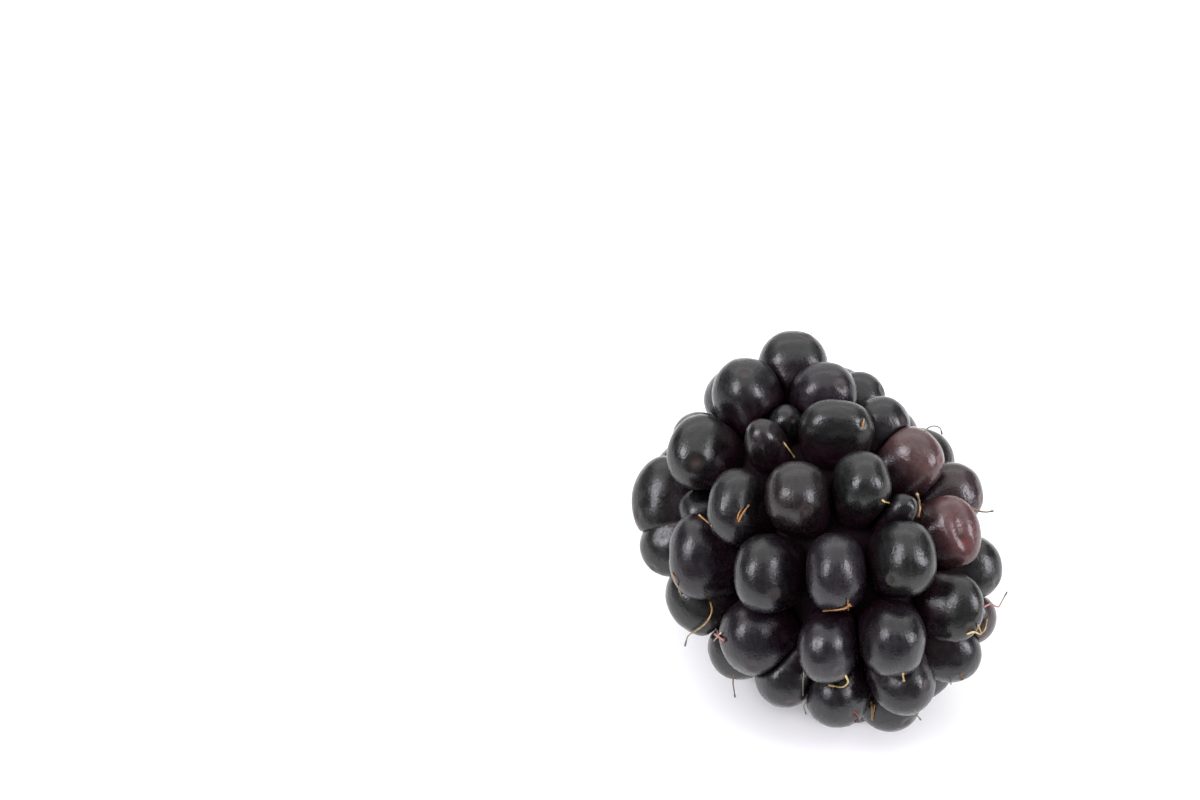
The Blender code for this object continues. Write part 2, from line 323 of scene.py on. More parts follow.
def addPiece(name, points, faces, attributes=(), centre=(0, 0, 0)):
    # one mesh from points in millimetres and triangles, with its point attributes
    mesh = bpy.data.meshes.new(name)
    mesh.vertices.add(len(points))
    mesh.vertices.foreach_set("co", ((points + centre) * millimetre).ravel())
    mesh.loops.add(faces.size)
    mesh.loops.foreach_set("vertex_index", faces.ravel().astype(np.int32))
    mesh.polygons.add(len(faces))
    mesh.polygons.foreach_set("loop_start", np.arange(0, faces.size, 3, dtype=np.int32))
    for label, kind, field, values in attributes:
        layer = mesh.attributes.new(label, kind, "POINT")
        layer.data.foreach_set(field, np.ascontiguousarray(values, np.float32).ravel())
    mesh.update(calc_edges=True)
    mesh.validate()
    mesh.shade_smooth()
    thing = bpy.data.objects.new(name, mesh)
    bpy.context.scene.collection.objects.link(thing)
    return thing


def colour(text):
    # an sRGB hex value as linear red, green, blue
    value = np.array([int(text[i:i + 2], 16) for i in (1, 3, 5)]) / 255
    return np.where(value <= 0.04045, value / 12.92, ((value + 0.055) / 1.055) ** 2.4)


# Rows of the egg-shaped drupelets, and how much slimmer each gets along its length; then
# those with rounder shoulders than the rest.
eggShape = {22: 0.16, 12: -0.12}
roundRows = {12: 2.0, 22: 2.1, 3: 2.1}

# How much slimmer than the solid's the seen ones are, and rows that differ from that.
usualSlim = 0.975
slimRows = {3: 0.86, 30: 0.90, 33: 0.94}

# Rows of those that the photograph shows only as depth between others, and how much further
# down each lies.
sunkRows = {35: 0.9, 36: 1.0}

# One that grew out over its neighbour: how much longer it is, that neighbour's row, and how
# far it leans over to it. The neighbour runs in under it, not pressed flat by it.
leanRows = {31: (1.14, 29, 0.4)}
tuckedRows = {29: 31}

draw = np.random.default_rng(fruit["seed"])
places, room, seenCount = placeDrupelets(draw)
axes, sizes, lift, ahead = shapeDrupelets(places, room, seenCount, draw)
places = settleDrupelets(places, axes, sizes, lift)
total = len(places)
print("drupelets placed:", total)


def solidBox():
    # lowest and highest corner of the solid's own coarse domes, to find how it was centred
    tilts = np.radians(drupelet["solidRings"])
    sides = drupelet["solidSides"]
    tilt = np.repeat(tilts, sides)
    turn = np.tile(np.arange(sides) * 2 * np.pi / sides, len(tilts))
    grid = np.stack([np.sin(tilt) * np.cos(turn), np.sin(tilt) * np.sin(turn), np.cos(tilt)], -1)
    grid = np.vstack([grid, [[0, 0, 1], [0, 0, -1]]])
    low, high = np.full(3, 99.0), np.full(3, -99.0)
    for index in range(total):
        directions = grid @ axes[index]
        reach = skinDistance(index, directions, drupelet["solidOverlap"])
        points = places[index] + directions * reach[:, None]
        low, high = np.minimum(low, points.min(axis=0)), np.maximum(high, points.max(axis=0))
    return low, high


# the solid has neither the egg shapes nor the tucked one, so both are put aside meanwhile
keptEgg, keptTucked, eggShape, tuckedRows = eggShape, tuckedRows, {}, {}
low, high = solidBox()
eggShape, tuckedRows = keptEgg, keptTucked
cadMiddle = (np.array(cadBox[0]) + np.array(cadBox[1])) / 2 / millimetre
centring = cadMiddle - (low + high) / 2
centring[2] = 0.0
print("moved over the origin by", centring.round(3), "box left", (high - low).round(3))

# from here on the drupelets are the finer ones
for row in range(seenCount):
    sizes[row, 0] *= slimRows.get(row, usualSlim)
for row, depth in sunkRows.items():
    places[row] = places[row] - axes[row, 2] * depth
for row, (longer, other, step) in leanRows.items():
    sizes[row, 1] *= longer
    places[row] = places[row] + unit(places[other] - places[row]) * step

right, up, back = photoAxes()
focal = photo["lens"] / photo["sensor"] * photo["size"][0]
shiftRight = (photo["fruitAt"][0] - photo["size"][0] / 2) / focal
shiftUp = (photo["size"][1] / 2 - photo["fruitAt"][1]) / focal
cameraAt = np.array([0, 0, fruit["height"]]) + photo["distance"] * (
    back - right * shiftRight - up * shiftUp)


def photoRay(across, down):
    # direction from the camera through a pixel of the photograph
    return unit(right * (across - photo["size"][0] / 2) + up * (photo["size"][1] / 2 - down)
                - back * focal)


def coarseSkin():
    # all domes on a medium grid, to find where a line of sight meets the fruit
    sides, rings = drupelet["sightSides"], drupelet["sightRings"]
    tilts = np.linspace(0, np.pi, rings + 2)[1:-1]
    faces = ringFaces(sides, rings)
    points, triangles = [], []
    for index in range(total):
        directions = ringGrid(tilts, sides, axes[index, 2])
        reach = skinDistance(index, directions, drupelet["fineOverlap"], drupelet["squareness"])
        triangles.append(faces + len(directions) * index)
        points.append(places[index] + directions * reach[:, None])
    tree = BVHTree.FromPolygons(np.vstack(points).tolist(), np.vstack(triangles).tolist())
    return tree, len(faces)


sightTree, sightFaces = coarseSkin()


def whereSeen(across, down):
    # point of the skin at a pixel, its outward direction and the drupelet's row, or None
    found = sightTree.ray_cast(Vector(cameraAt), Vector(photoRay(across, down)))
    if found[0] is None:
        return None
    return np.array(found[0]), np.array(found[1]), found[2] // sightFaces


# Scars of the styles that the photograph shows, at their pixels: each turns the pole of that
# drupelet's grid to it. Then how wide and deep it is against the usual one.
seenScars = (
    (696, 463, 1.5, 1.5), (806, 511, 1.1, 1.3), (774, 594, 1.0, 0.9), (841, 383, 1.2, 0.9),
    (863, 424, 1.0, 0.8), (883, 501, 0.9, 0.8), (940, 460, 0.9, 0.9), (967, 544, 1.2, 1.2),
    (890, 580, 0.8, 1.0), (739, 520, 1.0, 1.0), (783, 442, 0.8, 0.9), (700, 516, 0.6, 0.6),
    (710, 603, 0.9, 0.9), (718, 637, 1.1, 0.8), (848, 606, 1.0, 0.9), (846, 686, 0.9, 0.8),
    (903, 674, 0.8, 0.7), (980, 633, 1.0, 0.8), (855, 714, 1.2, 0.9), (926, 685, 0.9, 1.0),
    (962, 677, 0.9, 0.8), (736, 681, 0.8, 0.8), (983, 512, 0.8, 0.7),
)
scars = unit(axes[:, 2] * np.cos(np.radians(drupelet["scarTilt"]))
             + ahead * np.sin(np.radians(drupelet["scarTilt"])))
scarSize = np.ones((total, 2))
for across, down, wide, deep in seenScars:
    found = whereSeen(across, down)
    if found is not None:
        scars[found[2]] = unit(found[0] - places[found[2]])
        scarSize[found[2]] = wide, deep
        print("scar at", across, down, "on row", found[2])

# Places where the skin has fallen in: pixel, how wide and how deep in millimetres.
seenDents = (
    (955, 516, 0.42, 0.12), (956, 523, 0.42, 0.16), (958, 530, 0.42, 0.18), (960, 537, 0.42, 0.18),
    (963, 543, 0.42, 0.16), (966, 549, 0.40, 0.12), (936, 537, 0.5, 0.08),
    (662, 533, 0.7, 0.16), (893, 579, 0.4, 0.07), (668, 553, 0.5, 0.10), (884, 680, 0.4, 0.05),
)
dents = []
for across, down, wide, deep in seenDents:
    found = whereSeen(across, down)
    if found is not None:
        dents.append((found[2], found[0], wide, deep))

fineDraw = np.random.default_rng(fruit["seed"] + 1)


def drupeletRelief(index, directions, reach):
    # what the plain dome lacks: a few slow waves, a pit with a low rim round the scar, and
    # the dents; each is added along the direction from the middle
    waves = fineDraw.normal(0, 1, (drupelet["waves"], 3)) * drupelet["waveSpread"]
    phases = fineDraw.uniform(0, 2 * np.pi, drupelet["waves"])
    change = drupelet["lumps"] * np.sin(directions @ waves.T + phases).sum(axis=1) / 2
    facet = unit(axes[index, 2] + fineDraw.normal(0, 0.5, 3))
    off = (1 - directions @ facet) / drupelet["flatSpread"]
    change = change - drupelet["flatter"] * np.exp(-off ** 2)
    angle = np.arccos(np.clip(directions @ scars[index], -1, 1)) / scarSize[index, 0]
    # in scar widths: the pit is round 0, and its rim round 2.1
    pit = np.exp(-(angle / drupelet["scarWidth"]) ** 2)
    rim = np.exp(-((angle - 2.1 * drupelet["scarWidth"]) / (0.8 * drupelet["scarWidth"])) ** 2)
    dip = drupelet["scarRim"] * rim - pit
    change = change + scarSize[index, 1] * drupelet["scarDepth"] * dip
    points = places[index] + directions * reach[:, None]
    for row, centre, wide, deep in dents:
        if row == index:
            away = np.linalg.norm(points - centre, axis=1)
            change = change - deep * np.exp(-(away / wide) ** 2)
    return change


# Skin colours. Ripe ones are near black and lean to blue, plum, green or brown; the ruddy
# ones ripened in shade. Keys are rows of the table above.
skinTints = {
    "sloe": "#101015",
    "plum": "#141015",
    "moss": "#101110",
    "umber": "#140f10",
    "coal": "#100e10",
    # painted shade: near black for the two drupelets that lie as shaded depth between others
    "paintedDepthShade": "#0a080a",
    "ruddy": "#402b2b",
    "rust": "#462d2d",
    "shade": "#281b1d",
    # painted shade, near black with a wine cast, for the root's side of each drupelet deep between
    # the others
    "paintedCreviceShade": "#14070d",
}
freeTints = ("sloe", "plum", "moss", "umber", "coal")
tintSpread = {"named": 0.03, "free": 0.12}
tintOfRow = {
    20: "ruddy", 12: "rust", 17: "shade", 7: "shade", 0: "coal", 1: "coal", 2: "coal",
    3: "moss", 4: "coal", 5: "coal", 6: "plum", 8: "moss", 9: "moss", 10: "plum", 11: "coal",
    13: "coal", 14: "plum", 15: "coal", 16: "moss", 18: "moss", 19: "umber", 21: "coal",
    22: "plum", 23: "moss", 24: "moss", 25: "coal", 26: "umber", 27: "coal", 28: "plum",
    # rows 35 and 36 take the painted depth shade
    29: "moss", 30: "moss", 31: "moss", 32: "coal", 33: "coal", 34: "coal", 35: "paintedDepthShade",
    36: "paintedDepthShade", 37: "coal",
}
ruddyRows = (20, 12, 17, 7)


def fineDrupelet(index):
    # one closed dome with its grid's pole on the scar, and for each point: its colour, with
    # painted shade towards the root, where it lies round and away from the scar, and how near the
    # scar it is
    rings = drupelet["fineRings"]
    tilts = np.pi * (np.arange(1, rings + 1) / (rings + 1)) ** drupelet["ringPower"]
    directions = ringGrid(tilts, drupelet["fineSides"], scars[index])
    reach = skinDistance(index, directions, drupelet["fineOverlap"], drupelet["squareness"])
    reach = reach + drupeletRelief(index, directions, reach)
    points = places[index] + directions * reach[:, None]
    points[:, 2] = np.maximum(points[:, 2], 0.0)
    angle = np.arccos(np.clip(directions @ scars[index], -1, 1))
    scar = np.exp(-(angle / (1.1 * drupelet["scarWidth"] * scarSize[index, 0])) ** 2)
    name = tintOfRow.get(index, freeTints[fineDraw.integers(len(freeTints))])
    spread = tintSpread["named" if index in tintOfRow else "free"]
    tint = colour(skinTints[name]) * fineDraw.uniform(1 - spread, 1 + spread, 3)
    # painted shade: the root's side, deep between the drupelets where light hardly reaches, is
    # darkened towards the crevice shade
    outside = np.clip(directions @ axes[index, 2] * 1.4 + 0.55, 0, 1)[:, None]
    paintedCreviceShade = colour(skinTints["paintedCreviceShade"])
    tints = paintedCreviceShade + (tint - paintedCreviceShade) * outside
    local = directions @ axes[index].T * reach[:, None] + fineDraw.uniform(-60, 60, 3)
    tints = np.hstack([tints, np.ones((len(tints), 1))])
    return points, tints, local, scar


def drupeletPiece(name, rows):
    # one mesh of the fine domes of those rows
    faces = ringFaces(drupelet["fineSides"], drupelet["fineRings"])
    made = [fineDrupelet(index) for index in rows]
    size = len(made[0][0])
    triangles = np.vstack([faces + size * order for order in range(len(rows))])
    attributes = [
        ("tint", "FLOAT_COLOR", "color", np.vstack([part[1] for part in made])),
        ("grain", "FLOAT_VECTOR", "vector", np.vstack([part[2] for part in made])),
        ("scar", "FLOAT", "value", np.concatenate([part[3] for part in made])),
    ]
    return addPiece(name, np.vstack([part[0] for part in made]), triangles, attributes, centring)


ripeRows = [index for index in np.argsort(-places[:, 0]) if index not in ruddyRows]
third = -(-len(ripeRows) // 3)
ripePieces = [
    drupeletPiece("drupelets_tip", ripeRows[:third]),
    drupeletPiece("drupelets_middle", ripeRows[third:2 * third]),
    drupeletPiece("drupelets_base", ripeRows[2 * third:]),
]
ruddyPiece = drupeletPiece("drupelets_ruddy", ruddyRows)
print("drupelet skins made")

# The receptacle: the ovoid sunk under the middles, drawn out to the bare plug at the base.
# Places on the plug's face are parts of its radius.
plug = {
    "radius": 2.6,
    "station": -11.0,
    "edge": 0.35,
    "dish": 0.25,
    "bareFrom": 8.2,
    "bareOver": 0.8,
    "tears": 14,
    "tearHeight": 0.016,
    "vesselsAt": 0.62,
    "vesselWidth": 0.08,
    "vesselHeight": 0.07,
    "collarAt": 0.8,
    "collarWidth": 0.07,
    "collarDepth": 0.10,
    "rings": 90,
    "faceRings": 40,
    "sides": 144,
    "bundles": 11,
}


def receptaclePiece():
    # a profile carried round the x axis: down the ovoid to the plug's wall, over its rounded
    # rim and in over its dished face, where a ring of vessel ends and torn fibres stand up
    sink = drupelet["coreSink"] + drupelet["deeper"]
    table = np.radians(np.arange(91.0, 180.0, 0.5))
    rim = ovoidPoint(table, 0.0 * table, -sink)
    meets = np.interp(-plug["radius"], fruit["height"] - rim[:, 2], table)
    fromTip = np.linspace(0, meets, plug["rings"] + 1)[1:]
    skin = ovoidPoint(fromTip, 0.0 * fromTip, -sink)
    bend = np.linspace(0, np.pi / 2, 9)
    rimStation = plug["station"] + plug["edge"] * (1 - np.sin(bend))
    rimAcross = plug["radius"] - plug["edge"] * (1 - np.cos(bend))
    inward = np.linspace(1, 0, plug["faceRings"] + 1)[1:-1]
    faceAcross = (plug["radius"] - plug["edge"]) * inward
    faceStation = plug["station"] + plug["dish"] * (1 - inward ** 2)
    wall = np.linspace(skin[-1, 0], rimStation[0], 8)[1:-1]
    station = np.concatenate([skin[:, 0], wall, rimStation, faceStation])
    across = np.concatenate([skin[:, 2] - fruit["height"], np.full(len(wall), plug["radius"]),
                             rimAcross, faceAcross])
    bare = np.clip((-station - plug["bareFrom"]) / plug["bareOver"], 0, 1)
    part = across / plug["radius"] * bare
    turn = np.arange(plug["sides"]) * 2 * np.pi / plug["sides"]
    around, ring = np.meshgrid(turn, np.arange(len(station)))
    rough = np.random.default_rng(fruit["seed"] + 2)
    torn = np.zeros_like(around)
    for _ in range(plug["tears"]):
        torn = torn + np.sin(around * rough.integers(3, 40) + rough.uniform(0, 6)
                             + part[ring] * rough.uniform(-25, 25))
    onFace = np.clip((plug["station"] + 0.6 - station) / 0.5, 0, 1)[ring]
    offRing = (part[ring] - plug["vesselsAt"]) / plug["vesselWidth"]
    vessel = np.clip(np.cos(around * plug["bundles"]) * np.exp(-offRing ** 2), 0, 1)
    collar = np.exp(-((part[ring] - plug["collarAt"]) / plug["collarWidth"]) ** 2)
    push = onFace * (plug["tearHeight"] * torn + plug["vesselHeight"] * vessel
                     - plug["collarDepth"] * collar)
    wavy = 1 + 0.012 * np.sin(around * 3 + 1) * bare[ring] + 0.003 * torn * bare[ring]
    x = station[ring] - push
    radial = across[ring] * wavy
    points = np.stack([x, radial * np.sin(around), fruit["height"] + radial * np.cos(around)], -1)
    tip = fruit["tipLength"] - sink
    ends = [[tip, 0, fruit["height"]], [plug["station"] + plug["dish"], 0, fruit["height"]]]
    faces = ringFaces(plug["sides"], len(station))[:, ::-1]
    shade = np.concatenate([bare[ring].ravel(), [0, 1]])
    outOf = np.concatenate([part[ring].ravel(), [0, 0]])
    attributes = [("bare", "FLOAT", "value", shade), ("outOf", "FLOAT", "value", outOf)]
    return addPiece("receptacle", np.vstack([points.reshape(-1, 3), ends]), faces, attributes,
                    centring)


receptacle = receptaclePiece()
print("receptacle made")

# The dried styles. Those of the photograph lie along the pixels listed, each with how far it
# stands over the skin there; the rest bend away from their scars by a seeded draw.
styles = {
    "sides": 6,
    "rings": 15,
    "thick": 0.070,
    "knob": 1.35,
    "sunk": 0.12,
    "drop": 0.9,
    "chance": 0.62,
    "freeThick": (0.75, 1.15),
    "length": (1.2, 2.6),
    "parts": (0.35, 0.35, 0.3),
    "leanAhead": 0.5,
    "leanSpread": 0.45,
    "bendAhead": 0.8,
    "bendSpread": 0.5,
    "droop": 0.6,
    "hiddenFrom": -0.3,
    "lowest": 0.15,
    "floor": 0.02,
}
seenStyles = (
    (((811, 336, 0.0), (812, 331, 0.5), (815, 325, 0.9)), 0.5, "thread"),
    (((783, 442, 0.0), (787, 447, 0.25), (795, 458, 0.1)), 0.8, "straw"),
    (((699, 515, 0.3), (705, 520, 0.3), (712, 526, 0.1)), 0.9, "ochre"),
    (((738, 522, 0.0), (743, 513, 0.2), (749, 505, 0.3)), 1.1, "orange"),
    (((737, 520, 0.0), (739, 513, 0.15), (742, 508, 0.1)), 0.8, "orange"),
    (((862, 428, 0.0), (863, 424, 0.15), (864, 419, 0.1)), 0.9, "ochre"),
    (((924, 432, 0.0), (928, 428, 0.3), (934, 426, 0.6), (940, 428, 0.8), (942, 434, 1.0)),
     1.0, "thread"),
    (((971, 508, 0.0), (979, 511, 0.5), (986, 512, 0.8), (993, 511, 1.0)), 1.1, "umber"),
    (((882, 500, 0.0), (885, 502, 0.2), (889, 503, 0.2)), 1.0, "straw"),
    (((917, 494, 0.4), (919, 502, 0.5), (920, 509, 0.4), (918, 517, 0.1)), 1.4, "cream"),
    (((681, 594, 0.0), (677, 584, 0.2), (672, 573, 0.1)), 0.8, "ochre"),
    (((710, 601, 0.0), (712, 611, 0.5), (706, 623, 0.6), (694, 632, 0.5), (688, 636, 0.5),
      (685, 646, 0.5)), 0.95, "greyTip"),
    (((715, 634, 0.2), (719, 637, 0.35), (724, 641, 0.15)), 1.3, "pink"),
    (((717, 630, 0.3), (719, 636, 0.35), (722, 643, 0.15)), 0.9, "pink"),
    (((721, 633, 0.3), (718, 636, 0.45), (714, 641, 0.25)), 0.8, "cream"),
    (((734, 674, 0.0), (733, 683, 0.3), (734, 690, 0.5), (735, 697, 0.6)), 0.9, "umber"),
    (((852, 711, 0.0), (857, 714, 0.25), (859, 720, 0.25), (855, 722, 0.1)), 0.9, "rusty"),
    (((804, 671, 0.0), (803, 683, 0.4), (803, 696, 0.5)), 0.6, "thread"),
    (((807, 700, 0.0), (804, 706, 0.4), (806, 714, 0.6)), 0.8, "thread"),
    (((850, 603, 0.0), (846, 608, 0.3), (836, 610, 0.3), (823, 611, 0.1)), 0.9, "orange"),
    (((848, 610, 0.0), (848, 606, 0.35), (848, 600, 0.3)), 0.9, "orange"),
    (((852, 606, 0.0), (849, 606, 0.3), (844, 608, 0.2)), 0.8, "orange"),
    (((845, 675, 0.0), (848, 682, 0.4), (842, 687, 0.4), (829, 685, 0.3)), 1.05, "straw"),
    (((903, 673, 0.0), (903, 676, 0.3), (904, 681, 0.4)), 1.2, "straw"),
    (((871, 700, 0.0), (872, 709, 0.3), (872, 720, 0.2)), 1.0, "ochre"),
    (((875, 703, 0.0), (874, 710, 0.2), (873, 717, 0.1)), 0.7, "ochre"),
    (((967, 634, 0.1), (974, 632, 0.3), (981, 634, 0.3), (978, 625, 0.2)), 0.9, "straw"),
    (((980, 634, 0.1), (985, 629, 0.3), (987, 619, 0.2)), 0.9, "straw"),
    (((984, 607, 0.0), (991, 604, 0.3), (998, 607, 0.6), (1002, 601, 0.8), (1007, 592, 1.0)),
     0.85, "pinkGrey"),
    (((917, 705, 0.0), (915, 712, 0.3), (921, 720, 0.5)), 0.8, "thread"),
    (((948, 678, 0.0), (950, 682, 0.3), (951, 684, 0.4)), 0.8, "thread"),
    (((960, 674, 0.0), (963, 678, 0.2), (961, 680, 0.3)), 1.0, "umber"),
)
styleColours = {
    "thread": ("#6f6857", "#3f3c38"),
    "straw": ("#c6b074", "#9e8452"),
    "ochre": ("#b48c5a", "#83603a"),
    "orange": ("#a97a46", "#7e5430"),
    "cream": ("#d0b493", "#8a5730"),
    "greyTip": ("#bd9862", "#55524c"),
    "pink": ("#a97b7c", "#855a5a"),
    "pinkGrey": ("#b5706a", "#3c3a3a"),
    "umber": ("#6d4a2c", "#2d241c"),
    "rusty": ("#7d3a34", "#4a2522"),
}
freeColours = ("ochre", "straw", "umber", "orange", "greyTip")


def smoothPath(knots, count):
    # a curve through the knots, each stretch a cubic whose slopes are half of the step between
    # the knots on either side
    knots = np.asarray(knots, float)
    padded = np.vstack([2 * knots[0] - knots[1], knots, 2 * knots[-1] - knots[-2]])
    where = np.linspace(0, len(knots) - 1, count)
    start = np.minimum(where.astype(int), len(knots) - 2)
    t = (where - start)[:, None]
    a, b, c, d = (padded[start + step] for step in range(4))
    return 0.5 * (2 * b + (c - a) * t + (2 * a - 5 * b + 4 * c - d) * t ** 2
                  + (3 * b - a - 3 * c + d) * t ** 3)


def styleTube(path, thick):
    # a circle carried along the path: full at the root, slimmer on the way, and a small knob
    # at the end, where the stigma dried
    run = np.linspace(0, 1, len(path))
    radius = styles["thick"] * thick * (1.15 - 0.55 * run)
    radius = radius + styles["thick"] * thick * (styles["knob"] - 0.6) * np.exp(
        -((run - 0.96) / 0.05) ** 2)
    tangent = unit(np.gradient(path, axis=0))
    side = unit(np.cross(tangent, [0.36, -0.48, 0.80]))
    other = np.cross(tangent, side)
    turn = (np.arange(styles["sides"]) * 2 * np.pi / styles["sides"])[None, :, None]
    ring = side[:, None] * np.cos(turn) + other[:, None] * np.sin(turn)
    skin = path[:, None] + ring * radius[:, None, None]
    ends = [path[0] - tangent[0] * 0.02, path[-1] + tangent[-1] * radius[-1] * 0.6]
    return np.vstack([skin.reshape(-1, 3), ends]), np.concatenate(
        [np.repeat(run, styles["sides"]), [0, 1]])


def seenPath(knots):
    # the skin under each pixel, raised by its height; past the outline, or where the skin drops
    # away, the path keeps the depth of the knot before
    path = []
    for across, down, over in knots:
        ray = photoRay(across, down)
        found = whereSeen(across, down)
        depth = np.linalg.norm(found[0] - cameraAt) if found else 1e9
        if path:
            before = np.linalg.norm(path[-1] - cameraAt)
            depth = min(depth - over, before + styles["drop"])
        else:
            depth = depth + styles["sunk"] - over
            if found is None:
                return None
        path.append(cameraAt + ray * depth)
    return path


def freePath(index, chance):
    # from the scar out along a leaning direction, then over towards the tip and down
    scar = scars[index]
    lean = unit(scar + styles["leanAhead"] * ahead[index]
                + chance.normal(0, styles["leanSpread"], 3))
    bend = unit(lean + styles["bendAhead"] * ahead[index]
                + chance.normal(0, styles["bendSpread"], 3) - styles["droop"] * scar)
    length = chance.uniform(*styles["length"])
    root = places[index] + scar * skinDistance(index, scar[None], 0.0, drupelet["squareness"])[0]
    first, second, last = styles["parts"]
    one = root + lean * length * first
    two = one + unit(lean + bend) * length * second
    three = two + bend * length * last
    return [root - scar * styles["sunk"], one, two, three]


def stylesPiece():
    # the traced styles, then on the hidden side one on some of the scars, all in one mesh
    paths, seenRows = [], set()
    for knots, thick, name in seenStyles:
        path = seenPath(knots)
        if path is None:
            print("no skin at", knots[0])
            continue
        seenRows.add(whereSeen(*knots[0][:2])[2])
        paths.append((path, thick, name))
    chance = np.random.default_rng(fruit["seed"] + 3)
    for index in range(total):
        wanted = chance.uniform() < styles["chance"]
        path, thick = freePath(index, chance), chance.uniform(*styles["freeThick"])
        name = freeColours[chance.integers(len(freeColours))]
        inView = scars[index] @ back > styles["hiddenFrom"]
        tooLow = min(point[2] for point in path) < styles["lowest"]
        if wanted and not inView and not tooLow and index not in seenRows:
            paths.append((path, thick, name))
    points, tints, faces, size = [], [], [], 0
    tubeFaces = ringFaces(styles["sides"], styles["rings"])[:, ::-1]
    for path, thick, name in paths:
        skin, run = styleTube(smoothPath(path, styles["rings"]), thick)
        first, last = (colour(text) for text in styleColours[name])
        tint = first + (last - first) * run[:, None] ** 1.3
        points.append(skin)
        tints.append(np.hstack([tint, np.ones((len(tint), 1))]))
        faces.append(tubeFaces + size)
        size += len(skin)
    print("styles:", len(paths))
    points = np.vstack(points)
    points[:, 2] = np.maximum(points[:, 2], styles["floor"])
    attributes = [("tint", "FLOAT_COLOR", "color", np.vstack(tints))]
    return addPiece("styles", points, np.vstack(faces), attributes, centring)


stylesMesh = stylesPiece()


def addNode(tree, kind, links=(), **settings):
    # a node with its settings; links are pairs of input name and the socket that feeds it
    node = tree.nodes.new(kind)
    for name, value in settings.items():
        if name.startswith("in_"):
            name = name[3:].replace("_", " ")
            node.inputs[int(name) if name.isdigit() else name].default_value = value
        else:
            setattr(node, name, value)
    for name, socket in links:
        tree.links.new(socket, node.inputs[name])
    return node


def newMaterial(name):
    # an empty one, its node tree and its shader
    material = bpy.data.materials.new(name)
    material.use_nodes = True
    return material, material.node_tree, material.node_tree.nodes["Principled BSDF"]


def addBump(tree, shader, height, strength, distance):
    # relief from a height socket; the distance is in metres
    bump = addNode(tree, "ShaderNodeBump", [("Height", height)], in_Strength=strength,
                   in_Distance=distance)
    tree.links.new(bump.outputs["Normal"], shader.inputs["Normal"])


def rampColours(node, stops):
    # sets the stops of a colour ramp from positions and grey values or hex colours
    ramp = node.color_ramp
    while len(ramp.elements) < len(stops):
        ramp.elements.new(0.5)
    for element, (position, value) in zip(ramp.elements, stops):
        element.position = position
        linear = colour(value) if isinstance(value, str) else (value, value, value)
        element.color = (*linear, 1)


def drupeletSkin(name, settings):
    # Bramble skin: a thin cuticle with a trace of wax, grown taut over black juice. It gives
    # the eye a soft gloss with two blurred lamp spots, a pale rim at grazing angles, and fine
    # pores and streaks that run out from the scar. Its colour carries painted shade on each
    # drupelet's root side, and its wax streaks carry a painted sheen.
    material, tree, shader = newMaterial(name)
    shader.inputs["IOR"].default_value = settings["ior"]
    shader.inputs["Metallic"].default_value = 0.0
    tint = addNode(tree, "ShaderNodeAttribute", attribute_name="tint")
    grain = addNode(tree, "ShaderNodeAttribute", attribute_name="grain")
    scar = addNode(tree, "ShaderNodeAttribute", attribute_name="scar")
    # patches about 0.8 mm wide; grain is in millimetres, so a scale is one over the size
    patches = addNode(tree, "ShaderNodeTexNoise", [("Vector", grain.outputs["Vector"])],
                      in_Scale=1 / 0.8, in_Detail=4.0, in_Roughness=0.62)
    pores = addNode(tree, "ShaderNodeTexNoise", [("Vector", grain.outputs["Vector"])],
                    in_Scale=1 / settings["poreSize"], in_Detail=2.0, in_Roughness=0.6)
    # streaks: the same place squeezed along the drupelet, so the noise draws out into fibres
    squeezed = addNode(tree, "ShaderNodeMapping", [("Vector", grain.outputs["Vector"])],
                       in_Scale=(1.0, 0.16, 0.4))
    streaks = addNode(tree, "ShaderNodeTexNoise", [("Vector", squeezed.outputs["Vector"])],
                      in_Scale=1 / settings["streakSize"], in_Detail=2.0, in_Roughness=0.5)
    mottle = addNode(tree, "ShaderNodeMapRange", [("Value", patches.outputs["Fac"])],
                     in_1=0.3, in_2=0.7, in_3=settings["mottle"][0], in_4=settings["mottle"][1])
    mottled = addNode(tree, "ShaderNodeVectorMath",
                      [(0, tint.outputs["Color"]), ("Scale", mottle.outputs["Result"])],
                      operation="SCALE")
    # a breath of wax, rubbed off in streaks; the same lighter streaks also paint a blotchy sheen
    waxAndSheenMask = addNode(tree, "ShaderNodeMapRange", [("Value", streaks.outputs["Fac"])],
                    in_1=0.48, in_2=0.72, in_3=0.0, in_4=settings["waxAndSheen"])
    waxAndSheenMix = addNode(tree, "ShaderNodeMix", [("Factor", waxAndSheenMask.outputs["Result"]),
                    (6, mottled.outputs["Vector"])], data_type="RGBA")
    # pale grey-violet of the wax haze, which is also painted sheen
    waxAndSheenMix.inputs[7].default_value = (*colour("#6a6670"), 1)
    scarColour = addNode(tree, "ShaderNodeMix", [("Factor", scar.outputs["Fac"]),
                         (6, waxAndSheenMix.outputs[2])], data_type="RGBA")
    scarColour.inputs[7].default_value = (*colour(settings["scar"]), 1)
    tree.links.new(scarColour.outputs[2], shader.inputs["Base Color"])
    gloss = addNode(tree, "ShaderNodeMapRange", [("Value", patches.outputs["Fac"])],
                    in_1=0.3, in_2=0.7, in_3=settings["roughness"][0],
                    in_4=settings["roughness"][1])
    dull = addNode(tree, "ShaderNodeMath", [(0, scar.outputs["Fac"]),
                   (2, gloss.outputs["Result"])], operation="MULTIPLY_ADD", in_1=0.25)
    tree.links.new(dull.outputs["Value"], shader.inputs["Roughness"])
    relief = addNode(tree, "ShaderNodeMath", [(0, pores.outputs["Fac"]),
                     (1, streaks.outputs["Fac"])], operation="ADD")
    addBump(tree, shader, relief.outputs["Value"], settings["relief"], 0.00003)
    return material


